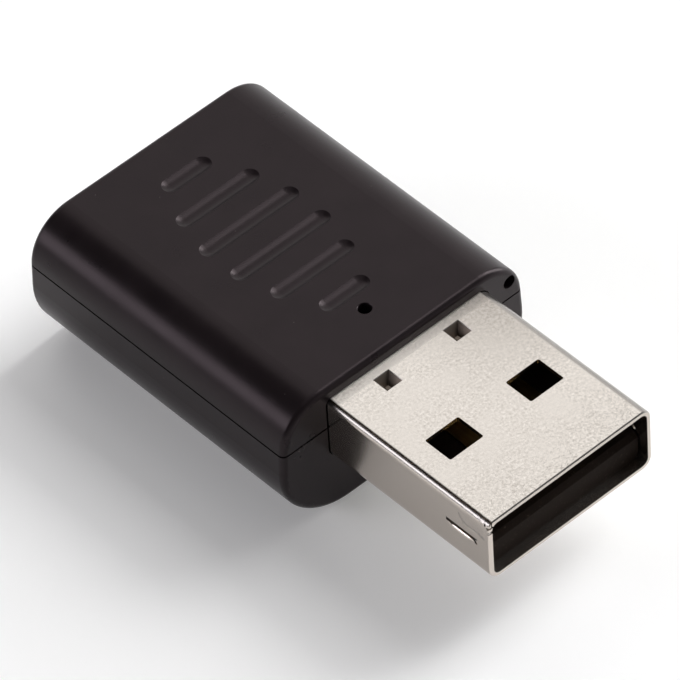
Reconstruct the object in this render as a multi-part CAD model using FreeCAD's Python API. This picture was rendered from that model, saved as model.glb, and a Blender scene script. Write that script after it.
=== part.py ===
import FreeCAD, Part
import math
import os
from FreeCAD import Vector

# Wireless adapter for a USB-A socket: two moulded shells round a circuit board, and a folded steel plug.
# Millimetres. X runs across the width, the plug points to -Y, and Z is up.
# The origin is the middle of the overall length and width, at the underside of the housing.

# Housing: its width and height are set by the plug that it holds, its length by the board
housing_beside_plug = 3.0
housing_below_plug = 4.0
housing_above_plug = 0.9
shell_wall = 1.1
front_wall = 1.3
rear_wall = 1.1
top_corner_radius = 3.0
bottom_corner_above_board = 0.7
side_draft = 3.0
front_edge_radius = 0.38
rear_edge_radius = 0.35

# Parting line: the lower shell's lip stands inside the upper shell's rim
parting_below_top = 3.0
parting_reveal = 0.12
lip_height = 0.9
lap_clearance = 0.05
snap_length = 2.6
snap_height = 0.4
snap_proud = 0.16
snap_clearance = 0.05
snap_from_front = 7.0
snap_spacing = 8.0

# Holes in the upper shell
light_hole_diameter = 0.8
light_hole_from_front = 2.95
light_hole_chamfer = 0.03
pinhole_diameter = 0.85
pinhole_depth = 0.8
pinhole_from_side = 1.08
pinhole_below_top = 1.7

# Thumb grip on top: grooves of round section, the middle ones longest
grip_groove_width = 1.1
grip_groove_depth = 0.16
grip_groove_count = 6
grip_groove_pitch = 2.56
grip_first_from_front = 4.55
grip_shortest_groove = 3.4
grip_longest_groove = 7.2

# Plug shell, folded from one sheet
plug_width = 12.0
plug_height = 4.5
plug_reach = 12.6
plug_hidden_length = 1.9
plug_offset = 0.38
plug_fit = 0.06
sheet = 0.28
bend_radius = 0.75
seam_edge_radius = 0.4
seam_inner_radius = 0.35
seam_gap = 0.08
seam_depth = 0.38
mouth_edge_chamfer = 0.07
window_length = 2.0
window_width = 2.45
window_from_mouth = 4.8
window_spacing = 3.5
window_corner_radius = 0.12
pit_size = 1.15
pit_from_mouth = 10.85
pit_spacing = 4.0
pit_depth = 0.6
pit_floor_size = 0.25
pit_floor_thickness = 0.15
pit_clearance = 0.06
slit_from_mouth = 0.95
slit_length = 2.4
slit_width = 0.17
slit_below_top = 2.05
slit_hook_radius = 0.34
tab_height = 0.55
tab_proud = 0.22
ear_length = 3.8
ear_height = 2.0
leg_width = 1.2
leg_from_ear_end = 0.5
leg_below_board = 0.6

# Torn bits of the shell's edge where the seam meets the mouth: behind the mouth, below the top, radius
torn_bits = [(0.08, 0.4, 0.1), (0.3, 0.27, 0.07), (0.03, 0.76, 0.11)]

# Plug insulator
tongue_thickness = 1.84
tongue_recess = 0.7
tongue_bevel = 0.3
tongue_length = 9.2
insulator_clearance = 0.08
insulator_behind_front = 1.3

# Contacts
contact_thickness = 0.2
contact_proud = 0.05
contact_clearance = 0.03
contact_bend_radius = 0.12
contact_foot_behind_front = 2.2
power_contact_width = 1.0
data_contact_width = 1.0
power_contact_position = 3.5
data_contact_position = 1.0
power_contact_start = 1.9
data_contact_start = 2.9

# Circuit board and how it is held
board_thickness = 0.8
board_side_gap = 0.8
board_front_gap = 0.1
board_rear_gap = 0.3
board_corner_radius = 0.5
leg_slot_clearance = 0.1
post_diameter = 1.4
post_clearance = 0.08
post_height_above_board = 0.7
post_from_board_side = 1.7
post_from_rear = 3.2
rail_thickness = 0.9
rail_from_board_side = 0.3
rail_behind_legs = 1.3
front_rib_width = 9.0
hold_down_gap = 0.05
hold_down_length = 2.2
hold_down_thickness = 0.9
hold_down_from_board_side = 0.1
hold_down_from_front = 8.6
hold_down_spacing = 6.2

# Parts on the board, in rows behind the plug; sizes are width, length and height
front_row_from_front = 5.9
row_gap = 0.6
side_gap = 0.2
antenna_keep_out = 1.6
board_behind_antenna = 0.99
radio_chip_size = (5.0, 5.0, 0.85)
radio_chip_pads_a_side = 7
radio_chip_pad_pitch = 0.6
radio_chip_pad_width = 0.28
radio_chip_pad_height = 0.2
radio_chip_pad_proud = 0.08
radio_chip_dot_diameter = 0.5
radio_chip_dot_depth = 0.05
radio_chip_dot_from_corner = 0.7
crystal_size = (2.0, 2.5, 0.8)
crystal_base_height = 0.45
crystal_lid_margin = 0.2
crystal_lid_corner_radius = 0.3
side_parts_behind_middle = 1.5
memory_chip_size = (1.6, 2.9, 1.1)
regulator_size = (1.3, 2.9, 1.05)
regulator_from_middle = 3.0
surge_protector_size = (1.6, 2.9, 1.1)
surge_protector_from_middle = 3.6
package_edge_slope = 0.12
lead_pitch = 0.95
lead_length = 0.55
lead_width = 0.4
lead_thickness = 0.15
ferrite_bead_size = (0.8, 1.6, 0.8)
ferrite_bead_cap = 0.35
chip_antenna_size = (5.2, 2.0, 1.1)
chip_antenna_cap = 1.1
small_part_size = (0.5, 1.0, 0.5)
small_part_cap = 0.22
small_part_spacing = 1.5
side_column_from_middle = 3.7
side_column_ahead = 0.9
rear_row_pitch = 1.2
rear_resistor_from_middle = 2.6
front_resistor_from_middle = 1.3
front_resistor_ahead = 1.5
cap_proud = 0.015
status_light_size = (1.6, 0.8, 0.55)
status_light_base_height = 0.25
status_light_window = 1.05
status_light_edge_slope = 0.1

# Solder
contact_solder_rise = 0.16
contact_solder_inset = 0.05
leg_solder_top_radius = 0.86
leg_solder_tip_radius = 0.6
leg_solder_height = 0.33

# How far a cutting tool runs past the face that it cuts
overrun = 1.0

# Worked out: the housing's section from the plug
housing_width = plug_width + 2 * housing_beside_plug
housing_height = housing_below_plug + plug_height + housing_above_plug
bottom_corner_radius = housing_below_plug + bottom_corner_above_board
parting_height = housing_height - parting_below_top

# Worked out: rows of parts, then the board's and the housing's length, all behind the housing's front
radio_chip_reach = radio_chip_size[1] / 2 + radio_chip_pad_proud
radio_row = front_row_from_front + surge_protector_size[1] / 2 + row_gap + radio_chip_reach
rear_row = radio_row + radio_chip_reach + row_gap + small_part_size[1] / 2
antenna_row = rear_row + small_part_size[1] / 2 + antenna_keep_out + chip_antenna_size[1] / 2
board_end = antenna_row + chip_antenna_size[1] / 2 + board_behind_antenna
housing_length = board_end + board_rear_gap + rear_wall

# Worked out: levels and places
total_length = plug_reach + housing_length
mouth_y = -total_length / 2
front_y = mouth_y + plug_reach
rear_y = front_y + housing_length
plug_underside_height = housing_below_plug
plug_top = plug_underside_height + plug_height
plug_rear_y = front_y + plug_hidden_length
plug_left = plug_offset - plug_width / 2
plug_right = plug_offset + plug_width / 2
tongue_top = plug_underside_height + sheet + tongue_thickness
board_top = plug_underside_height
board_bottom = board_top - board_thickness
board_front_y = front_y + front_wall + board_front_gap
board_rear_y = front_y + board_end
board_width = housing_width - 2 * (shell_wall + board_side_gap)
post_from_middle = board_width / 2 - post_from_board_side
rail_from_middle = board_width / 2 - rail_from_board_side - rail_thickness
hold_down_from_middle = board_width / 2 - hold_down_from_board_side - hold_down_thickness
pinhole_from_middle = housing_width / 2 - pinhole_from_side
pinhole_height = housing_height - pinhole_below_top
ear_end_y = plug_rear_y + ear_length
leg_rear_y = ear_end_y - leg_from_ear_end
leg_front_y = leg_rear_y - leg_width
leg_bottom = board_bottom - leg_below_board
insulator_rear_y = front_y + insulator_behind_front
contact_foot_y = front_y + contact_foot_behind_front

# Worked out: each board part's place
radio_chip_place = (0, front_y + radio_row)
beside_radio_chip = radio_chip_size[0] / 2 + radio_chip_pad_proud + side_gap
memory_chip_place = (-beside_radio_chip - lead_length - memory_chip_size[0] / 2,
                     front_y + radio_row + side_parts_behind_middle)
crystal_place = (beside_radio_chip + crystal_size[0] / 2, front_y + radio_row + side_parts_behind_middle)
regulator_place = (-regulator_from_middle, front_y + front_row_from_front)
surge_protector_place = (surge_protector_from_middle, front_y + front_row_from_front)
ferrite_bead_place = (0, front_y + front_row_from_front)
chip_antenna_place = (0, front_y + antenna_row)
side_column_y = front_y + radio_row - side_column_ahead
capacitor_places = [(side * side_column_from_middle, side_column_y - number * small_part_spacing)
                    for side in (-1, 1) for number in (0, 1)]
capacitor_places += [(side * rear_row_pitch, front_y + rear_row) for side in (-1, 1)]
resistor_places = [(side * front_resistor_from_middle, front_y + front_row_from_front - front_resistor_ahead)
                   for side in (-1, 1)]
resistor_places += [(x, front_y + rear_row) for x in (0, rear_resistor_from_middle)]


def box(x0, x1, y0, y1, z0, z1):
    """A block between two corners."""
    return Part.makeBox(x1 - x0, y1 - y0, z1 - z0, Vector(x0, y0, z0))


def block_on(x, y, z, width, length, height):
    """A block centred on x and y that stands on the level z."""
    return box(x - width / 2, x + width / 2, y - length / 2, y + length / 2, z, z + height)


def upright_prism(x0, x1, y0, y1, z0, z1, radius):
    """A block whose upright edges are rounded."""
    block = box(x0, x1, y0, y1, z0, z1)
    upright = [edge for edge in block.Edges if abs(edge.tangentAt(edge.FirstParameter).z) > 0.99]
    return block.makeFillet(radius, upright)


def section_wire(x0, x1, z0, z1, radii, y):
    """A rectangle in the XZ plane; radii are for its bottom left, bottom right, top right and top left."""
    corners = [(x0, z0, 1, 1), (x1, z0, -1, 1), (x1, z1, -1, -1), (x0, z1, 1, -1)]
    runs = []
    for index, ((x, z, inward_x, inward_z), radius) in enumerate(zip(corners, radii)):
        along_x = Vector(x + inward_x * radius, y, z)
        along_z = Vector(x, y, z + inward_z * radius)
        shift = radius * (1 - math.sqrt(0.5))
        middle = Vector(x + inward_x * shift, y, z + inward_z * shift)
        ends = (along_z, along_x) if index % 2 == 0 else (along_x, along_z)
        runs.append((ends[0], middle, ends[1], radius))
    edges = []
    for index, (start, middle, end, radius) in enumerate(runs):
        if radius > 0:
            edges.append(Part.Arc(start, middle, end).toShape())
        following = runs[(index + 1) % len(runs)][0]
        edges.append(Part.LineSegment(end, following).toShape())
    return Part.Wire(edges)


def along_y(wire, length):
    """The solid that a flat wire sweeps along +Y."""
    return Part.Face(wire).extrude(Vector(0, length, 0))


def polygon_prism(points, direction):
    """The solid that a closed polygon sweeps along a vector."""
    return Part.Face(Part.makePolygon(points + points[:1])).extrude(direction)


def housing_section(inset, y):
    """The housing's section: flat bottom, large lower corners, drafted sides, rounder top corners."""
    draft = math.radians(side_draft)
    low_x = housing_width / 2 - bottom_corner_radius
    low_z = bottom_corner_radius
    high_z = housing_height - top_corner_radius
    high_x = low_x + (bottom_corner_radius - top_corner_radius) / math.cos(draft)
    high_x -= (high_z - low_z) * math.tan(draft)
    low_radius = bottom_corner_radius - inset
    high_radius = top_corner_radius - inset

    def on_arc(side, x, z, radius, angle):
        return Vector(side * (x + radius * math.cos(angle)), y, z + radius * math.sin(angle))

    def side_edges(side):
        low = [on_arc(side, low_x, low_z, low_radius, a) for a in (-math.pi / 2, -math.pi / 4, draft)]
        middle_angle = (math.pi / 2 + draft) / 2
        high = [on_arc(side, high_x, high_z, high_radius, a) for a in (draft, middle_angle, math.pi / 2)]
        return low, high

    right_low, right_high = side_edges(1)
    left_low, left_high = side_edges(-1)
    return Part.Wire([
        Part.LineSegment(left_low[0], right_low[0]).toShape(),
        Part.Arc(*right_low).toShape(),
        Part.LineSegment(right_low[2], right_high[0]).toShape(),
        Part.Arc(*right_high).toShape(),
        Part.LineSegment(right_high[2], left_high[2]).toShape(),
        Part.Arc(*reversed(left_high)).toShape(),
        Part.LineSegment(left_high[0], left_low[2]).toShape(),
        Part.Arc(*reversed(left_low)).toShape(),
    ])


def housing_block(inset, front_inset, rear_inset):
    """The housing's form, drawn in by an inset all round and by its own amounts at the ends."""
    start = front_y + front_inset
    end = rear_y - rear_inset
    return along_y(housing_section(inset, start), end - start)


def slab(z0, z1):
    """Everything of the housing between two levels."""
    return box(-housing_width, housing_width, front_y - overrun, rear_y + overrun, z0, z1)


def outer_form():
    """The closed housing with its softened front and rear edges."""
    block = housing_block(0, 0, 0)

    def end_edges(y):
        return [edge for edge in block.Edges if all(abs(v.Point.y - y) < 1e-6 for v in edge.Vertexes)]

    softened = block.makeFillet(rear_edge_radius, end_edges(rear_y))
    front = [edge for edge in softened.Edges if all(abs(v.Point.y - front_y) < 1e-6 for v in edge.Vertexes)]
    return softened.makeFillet(front_edge_radius, front)


def plug_opening():
    """The way through the front wall for the plug shell."""
    grown = [bend_radius + plug_fit] * 3 + [seam_edge_radius + plug_fit]
    wire = section_wire(plug_left - plug_fit, plug_right + plug_fit,
                        plug_underside_height - plug_fit, plug_top + plug_fit, grown, front_y - overrun)
    return along_y(wire, overrun + plug_hidden_length + plug_fit)


def snap_blocks(grow):
    """Ramps on the lip's outer face, two a side; grown by a clearance they are their pockets."""
    mid_z = parting_height + lip_height / 2 + parting_reveal / 2
    half_height = snap_height / 2 + grow
    root_x = housing_width / 2 - shell_wall
    blocks = []
    for side in (-1, 1):
        for number in range(2):
            start = front_y + snap_from_front + number * snap_spacing - snap_length / 2 - grow
            tip_x = lap_face_x(mid_z) + snap_proud + grow
            points = [
                Vector(side * root_x, start, mid_z - half_height),
                Vector(side * tip_x, start, mid_z - half_height),
                Vector(side * tip_x, start, mid_z),
                Vector(side * (tip_x - snap_proud), start, mid_z + half_height),
                Vector(side * root_x, start, mid_z + half_height),
            ]
            blocks.append(polygon_prism(points, Vector(0, snap_length + 2 * grow, 0)))
    return blocks


def lap_face_x(z):
    """How far from the middle the lip's outer face is at a level near the parting line."""
    drop = (z - bottom_corner_radius) * math.tan(math.radians(side_draft))
    return housing_width / 2 - drop - shell_wall / 2 - lap_clearance


def grip_grooves():
    """Round-bottomed grooves across the top; their ends are round too."""
    radius = ((grip_groove_width / 2) ** 2 + grip_groove_depth ** 2) / (2 * grip_groove_depth)
    axis_z = housing_height + radius - grip_groove_depth
    steps = (grip_groove_count - 1) / 2
    cutters = []
    for number in range(grip_groove_count):
        from_middle = abs(number - steps) / steps
        length = grip_longest_groove - (grip_longest_groove - grip_shortest_groove) * from_middle ** 2
        y = front_y + grip_first_from_front + number * grip_groove_pitch
        half = (length - grip_groove_width) / 2
        bar = Part.makeCylinder(radius, 2 * half, Vector(-half, y, axis_z), Vector(1, 0, 0))
        ends = [Part.makeSphere(radius, Vector(side * half, y, axis_z)) for side in (-1, 1)]
        cutters.append(bar.fuse(ends).removeSplitter())
    return cutters


def upper_cover():
    """Top shell: wall, rebate for the lip, snap pockets, hold-downs, the two holes and the grip."""
    shell = outer_form().common(slab(parting_height + parting_reveal, housing_height + overrun))
    for cutter in grip_grooves():
        shell = shell.cut(cutter)
    shell = shell.cut(housing_block(shell_wall, front_wall, rear_wall))
    rebate = housing_block(shell_wall / 2, front_wall / 2, rear_wall / 2)
    shell = shell.cut(rebate.common(slab(parting_height, parting_height + lip_height)))
    for pocket in snap_blocks(snap_clearance):
        shell = shell.cut(pocket)
    shell = shell.cut(plug_opening())
    hole_y = front_y + light_hole_from_front
    shell = shell.cut(Part.makeCylinder(light_hole_diameter / 2, shell_wall + 2 * overrun,
                                        Vector(0, hole_y, housing_height - shell_wall - overrun)))
    rim_radius = light_hole_diameter / 2 + light_hole_chamfer
    countersink = Part.makeCone(light_hole_diameter / 2, rim_radius, light_hole_chamfer,
                                Vector(0, hole_y, housing_height - light_hole_chamfer))
    shell = shell.cut(countersink)
    pinhole = Part.makeCylinder(pinhole_diameter / 2, pinhole_depth + overrun,
                                Vector(pinhole_from_middle, front_y - overrun, pinhole_height),
                                Vector(0, 1, 0))
    shell = shell.cut(pinhole)
    root = housing_block(shell_wall / 2, front_wall, rear_wall)
    for side in (-1, 1):
        for number in range(2):
            y = front_y + hold_down_from_front + number * hold_down_spacing
            x0, x1 = sorted([side * hold_down_from_middle,
                             side * (hold_down_from_middle + hold_down_thickness)])
            finger = box(x0, x1, y - hold_down_length / 2, y + hold_down_length / 2,
                         board_top + hold_down_gap, housing_height)
            shell = shell.fuse(finger.common(root))
    return shell.removeSplitter()


def lower_cover():
    """Bottom shell: wall, lip with snaps, rails and a rib that carry the board, and two posts through it."""
    shell = outer_form().common(slab(-overrun, parting_height))
    cavity = housing_block(shell_wall, front_wall, rear_wall)
    shell = shell.cut(cavity)
    lip = housing_block(shell_wall / 2 + lap_clearance, front_wall / 2 + lap_clearance,
                        rear_wall / 2 + lap_clearance).cut(cavity)
    shell = shell.fuse(lip.common(slab(parting_height, parting_height + lip_height)))
    for ramp in snap_blocks(0):
        shell = shell.fuse(ramp)
    shell = shell.cut(plug_opening())
    root = housing_block(shell_wall / 2, front_wall, rear_wall)
    for side in (-1, 1):
        x0, x1 = sorted([side * rail_from_middle, side * (rail_from_middle + rail_thickness)])
        rail = box(x0, x1, leg_rear_y + rail_behind_legs, board_rear_y, 0, board_bottom)
        shell = shell.fuse(rail.common(root))
        post_top = board_top + post_height_above_board
        post = Part.makeCylinder(post_diameter / 2, post_top,
                                 Vector(side * post_from_middle, board_rear_y - post_from_rear, 0))
        shell = shell.fuse(post.common(root))
    rib = box(-front_rib_width / 2, front_rib_width / 2, board_front_y, board_front_y + rail_thickness,
              0, board_bottom)
    return shell.fuse(rib.common(root)).removeSplitter()


def pit_block(side, grow, top_z, top_size, bottom_z, bottom_size):
    """A square block that tapers downwards at the place of one pit, grown all round by a clearance."""
    middle_x = plug_offset + side * (pit_spacing + pit_size) / 2
    middle_y = mouth_y + pit_from_mouth + pit_size / 2
    rings = []
    for z, size in ((top_z, top_size), (bottom_z - grow, bottom_size)):
        half = size / 2 + grow
        rings.append([Vector(middle_x + a * half, middle_y + b * half, z)
                      for a, b in ((-1, -1), (1, -1), (1, 1), (-1, 1))])
    top, bottom = rings
    outlines = [top, bottom] + [[top[i - 1], top[i], bottom[i], bottom[i - 1]] for i in range(4)]
    return Part.Solid(Part.Shell([Part.Face(Part.makePolygon(o + o[:1])) for o in outlines]))


def pit_boss(side, grow):
    """The sheet that a pit presses down below the plug's top plate."""
    return pit_block(side, grow, plug_top - sheet + sheet / 4, pit_size,
                     plug_top - pit_depth - pit_floor_thickness, pit_floor_size + sheet)


def plug_shell():
    """Folded sheet steel: seam on the top left edge, windows, pits, side tabs, ears and solder legs."""
    length = plug_rear_y - mouth_y
    outer_radii = [bend_radius, bend_radius, bend_radius, seam_edge_radius]
    inner_radii = [bend_radius - sheet, bend_radius - sheet, bend_radius - sheet, seam_inner_radius]
    outer = along_y(section_wire(plug_left, plug_right, plug_underside_height, plug_top,
                                 outer_radii, mouth_y), length)
    rim = [edge for edge in outer.Edges if all(abs(v.Point.y - mouth_y) < 1e-6 for v in edge.Vertexes)]
    outer = outer.makeChamfer(mouth_edge_chamfer, rim)
    inner = along_y(section_wire(plug_left + sheet, plug_right - sheet, plug_underside_height + sheet,
                                 plug_top - sheet, inner_radii, mouth_y - overrun), length + 2 * overrun)
    shell = outer.cut(inner)
    seam_x = plug_left + sheet
    shell = shell.cut(box(seam_x - seam_gap, seam_x, mouth_y - overrun, plug_rear_y + overrun,
                          plug_top - seam_depth, plug_top + overrun))
    window_y = mouth_y + window_from_mouth
    for side in (-1, 1):
        x0, x1 = sorted([plug_offset + side * window_spacing / 2,
                         plug_offset + side * (window_spacing / 2 + window_width)])
        shell = shell.cut(upright_prism(x0, x1, window_y, window_y + window_length,
                                        plug_underside_height - overrun, plug_top + overrun,
                                        window_corner_radius))
        shell = shell.fuse(pit_boss(side, 0))
        shell = shell.cut(pit_block(side, 0, plug_top, pit_size, plug_top - pit_depth, pit_floor_size))
        shell = shell.cut(tab_form(side, sheet))
        shell = shell.fuse(tab_form(side, 0).cut(tab_form(side, sheet)))
        shell = shell.cut(side_slit(side))
    for bite in torn_corner():
        shell = shell.cut(bite)
    shell = shell.cut(box(plug_left + bend_radius, plug_right - bend_radius,
                          board_front_y - leg_slot_clearance, plug_rear_y + overrun,
                          plug_underside_height - overrun,
                          plug_underside_height + sheet + insulator_clearance))
    ear_bottom = plug_underside_height + bend_radius
    for side in (-1, 1):
        x0, x1 = sorted([plug_offset + side * plug_width / 2, plug_offset + side * (plug_width / 2 - sheet)])
        ear = box(x0, x1, plug_rear_y - sheet, ear_end_y, ear_bottom, ear_bottom + ear_height)
        leg = box(x0, x1, leg_front_y, leg_rear_y, leg_bottom, ear_bottom + sheet)
        tips = [edge for edge in leg.Edges if abs(edge.tangentAt(edge.FirstParameter).x) > 0.99
                and edge.BoundBox.ZMax < leg_bottom + 1e-6]
        shell = shell.fuse([ear, leg.makeChamfer(leg_width / 4, tips)])
    return shell.removeSplitter()


def tab_form(side, inset):
    """Part of an upright drum that leans out of a side wall below its slit: the form of the sprung tab."""
    face_x = plug_offset + side * plug_width / 2
    middle_y = mouth_y + slit_from_mouth + slit_length / 2
    top_z = plug_top - slit_below_top - slit_width / 2
    radius = ((slit_length / 2) ** 2 + tab_proud ** 2) / (2 * tab_proud)
    lean = Vector(side * tab_proud, 0, tab_height)
    from_axis = radius * lean.Length / tab_height
    foot = Vector(face_x - side * from_axis, middle_y, top_z - tab_height)
    drum = Part.makeCylinder(radius - inset, 3 * lean.Length, foot - lean, lean)
    x0, x1 = sorted([face_x - side * sheet, face_x + side * 2 * tab_proud])
    return drum.common(box(x0, x1, middle_y - slit_length, middle_y + slit_length,
                           top_z - tab_height - sheet, top_z))


def side_slit(side):
    """A lanced cut through a side wall, over its sprung tab, that curves down at its front end."""
    face_x = plug_offset + side * plug_width / 2
    reach = sheet + tab_proud + insulator_clearance
    x0, x1 = sorted([face_x + side * reach, face_x - side * reach])
    start = mouth_y + slit_from_mouth
    high = plug_top - slit_below_top + slit_width / 2
    straight = box(x0, x1, start + slit_hook_radius, start + slit_length, high - slit_width, high)
    middle = Vector(x0, start + slit_hook_radius, high - slit_hook_radius)
    along = Vector(1, 0, 0)
    ring = Part.makeCylinder(slit_hook_radius, x1 - x0, middle, along).cut(
        Part.makeCylinder(slit_hook_radius - slit_width, x1 - x0, middle, along))
    hook = ring.common(box(x0, x1, start - overrun, middle.y, middle.z, high + overrun))
    return straight.fuse(hook)


def torn_corner():
    """Small bites out of the shell's edge at the end of the seam."""
    reach = overrun + sheet + insulator_clearance
    bites = []
    for behind, below, radius in torn_bits:
        start = Vector(plug_left - overrun, mouth_y + behind, plug_top - below)
        bites.append(Part.makeCylinder(radius, reach, start, Vector(1, 0, 0)))
    return bites


def contact_places():
    """Each contact's name, middle, width and distance behind the mouth."""
    return [
        ("power_contact", plug_offset + power_contact_position, power_contact_width, power_contact_start),
        ("data_minus_contact", plug_offset + data_contact_position, data_contact_width, data_contact_start),
        ("data_plus_contact", plug_offset - data_contact_position, data_contact_width, data_contact_start),
        ("ground_contact", plug_offset - power_contact_position, power_contact_width, power_contact_start),
    ]


def plug_insulator():
    """Black moulding: a tongue along the bottom of the plug and a block that closes its rear."""
    left = plug_left + sheet + insulator_clearance
    right = plug_right - sheet - insulator_clearance
    bottom = plug_underside_height + sheet
    top = plug_top - sheet - insulator_clearance
    front = mouth_y + tongue_recess
    block_front = mouth_y + tongue_length
    rear = insulator_rear_y
    tongue = box(left, right, front, rear, bottom, tongue_top)
    block = box(left, right, block_front, rear, bottom, top)
    body = tongue.fuse(block).removeSplitter()
    foot_edges = [edge for edge in body.Edges if abs(edge.tangentAt(edge.FirstParameter).y) > 0.99
                  and (abs(edge.BoundBox.ZMax - bottom) < 1e-6 or abs(edge.BoundBox.ZMin - top) < 1e-6)]
    body = body.makeFillet(bend_radius - sheet, foot_edges)
    nose = [edge for edge in body.Edges if abs(edge.tangentAt(edge.FirstParameter).x) > 0.99
            and abs(edge.BoundBox.YMin - front) < 1e-6 and abs(edge.BoundBox.ZMax - tongue_top) < 1e-6]
    body = body.makeChamfer(tongue_bevel, nose)
    for side in (-1, 1):
        body = body.cut(pit_boss(side, pit_clearance))
    for name, x, width, start in contact_places():
        half = width / 2 + contact_clearance
        floor = tongue_top + contact_proud - contact_thickness
        roof = tongue_top + contact_proud + contact_clearance
        body = body.cut(box(x - half, x + half, mouth_y + start - contact_clearance, rear + overrun,
                            floor, roof))
    return body.removeSplitter()


def contact(x, width, start):
    """A strip along the tongue that turns down behind the block and ends in a foot on the board."""
    top = tongue_top + contact_proud
    drop_y = insulator_rear_y + contact_clearance
    foot_y = contact_foot_y
    x0 = x - width / 2
    outline = [
        Vector(x0, mouth_y + start, top - contact_thickness),
        Vector(x0, drop_y, top - contact_thickness),
        Vector(x0, drop_y, board_top),
        Vector(x0, foot_y, board_top),
        Vector(x0, foot_y, board_top + contact_thickness),
        Vector(x0, drop_y + contact_thickness, board_top + contact_thickness),
        Vector(x0, drop_y + contact_thickness, top),
        Vector(x0, mouth_y + start, top),
    ]
    strip = polygon_prism(outline, Vector(width, 0, 0))
    bends = []
    for edge in strip.Edges:
        middle = edge.BoundBox.Center
        if abs(edge.tangentAt(edge.FirstParameter).x) < 0.99:
            continue
        upper_outer = abs(middle.z - top) < 1e-6 and abs(middle.y - drop_y - contact_thickness) < 1e-6
        lower_outer = abs(middle.z - board_top) < 1e-6 and abs(middle.y - drop_y) < 1e-6
        if upper_outer or lower_outer:
            bends.append(edge)
    return strip.makeFillet(contact_bend_radius, bends)


def circuit_board():
    """Board with slots for the shell's legs and holes for the lower shell's posts."""
    board = upright_prism(-board_width / 2, board_width / 2, board_front_y, board_rear_y,
                          board_bottom, board_top, board_corner_radius)
    for side in (-1, 1):
        x0, x1 = sorted([plug_offset + side * (plug_width / 2 + leg_slot_clearance),
                         plug_offset + side * (plug_width / 2 - sheet - leg_slot_clearance)])
        board = board.cut(box(x0, x1, leg_front_y - leg_slot_clearance, leg_rear_y + leg_slot_clearance,
                              board_bottom - overrun, board_top + overrun))
        hole_middle = Vector(side * post_from_middle, board_rear_y - post_from_rear, board_bottom - overrun)
        board = board.cut(Part.makeCylinder(post_diameter / 2 + post_clearance,
                                            board_thickness + 2 * overrun, hole_middle))
    return board


def chip_body(place, size, base_z, slope):
    """A moulded package whose top edges slope."""
    width, length, height = size
    body = block_on(place[0], place[1], base_z, width, length, height)
    top_edges = [edge for edge in body.Edges if edge.BoundBox.ZMin > base_z + height - 1e-6]
    return body.makeChamfer(slope, top_edges)


def leaded_chip(place, size, left_leads, right_leads):
    """A small package with flat leads that stand on the board along its two long sides."""
    width, length, height = size
    body = chip_body(place, (width, length, height - lead_thickness), board_top + lead_thickness,
                     package_edge_slope)
    leads = []
    for side, count in ((-1, left_leads), (1, right_leads)):
        pitch = lead_pitch if count > 2 else 2 * lead_pitch
        root_x = place[0] + side * width / 2
        for number in range(count):
            y = place[1] + (number - (count - 1) / 2) * pitch
            leads.append(block_on(root_x + side * lead_length / 2, y, board_top,
                                  lead_length, lead_width, lead_thickness))
            leads.append(block_on(root_x, y, board_top, 2 * lead_thickness, lead_width, height / 2))
    return body.fuse(leads).removeSplitter()


def radio_chip():
    """Flat square package with pads along its four sides and a dot at its first corner."""
    width, length, height = radio_chip_size
    x, y = radio_chip_place
    body = block_on(x, y, board_top, width, length, height)
    dot = Part.makeCylinder(radio_chip_dot_diameter / 2, radio_chip_dot_depth + overrun,
                            Vector(x - width / 2 + radio_chip_dot_from_corner,
                                   y - length / 2 + radio_chip_dot_from_corner,
                                   board_top + height - radio_chip_dot_depth))
    body = body.cut(dot)
    reach = 2 * radio_chip_pad_proud
    pads = []
    for number in range(radio_chip_pads_a_side):
        step = (number - (radio_chip_pads_a_side - 1) / 2) * radio_chip_pad_pitch
        for side in (-1, 1):
            pads.append(block_on(x + side * width / 2, y + step, board_top,
                                 reach, radio_chip_pad_width, radio_chip_pad_height))
            pads.append(block_on(x + step, y + side * length / 2, board_top,
                                 radio_chip_pad_width, reach, radio_chip_pad_height))
    return body.fuse(pads).removeSplitter()


def crystal():
    """Sealed metal lid on a ceramic base."""
    width, length, height = crystal_size
    x, y = crystal_place
    base = block_on(x, y, board_top, width, length, crystal_base_height)
    half_width = width / 2 - crystal_lid_margin
    half_length = length / 2 - crystal_lid_margin
    lid = upright_prism(x - half_width, x + half_width, y - half_length, y + half_length,
                        board_top + crystal_base_height, board_top + height, crystal_lid_corner_radius)
    return base.fuse(lid).removeSplitter()


def end_capped(place, size, cap, lies_across):
    """A small block part with a plated cap at each end; the caps stand slightly proud."""
    width, length, height = size
    body = block_on(0, 0, board_top, width - 2 * cap_proud, length - 2 * cap_proud, height - cap_proud)
    caps = [block_on(0, side * (length - cap) / 2, board_top, width, cap, height) for side in (-1, 1)]
    piece = body.fuse(caps).removeSplitter()
    if lies_across:
        piece.rotate(Vector(0, 0, 0), Vector(0, 0, 1), 90)
    piece.translate(Vector(place[0], place[1], 0))
    return piece


def status_light():
    """Light under the hole in the top: a base with a clear block on it."""
    width, length, height = status_light_size
    y = front_y + light_hole_from_front
    base = block_on(0, y, board_top, width, length, status_light_base_height)
    window = block_on(0, y, board_top, status_light_window, length, height)
    sides = [edge for edge in window.Edges if abs(edge.tangentAt(edge.FirstParameter).y) > 0.99
             and edge.BoundBox.ZMin > board_top + height - 1e-6]
    return base.fuse(window.makeChamfer(status_light_edge_slope, sides)).removeSplitter()


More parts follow.
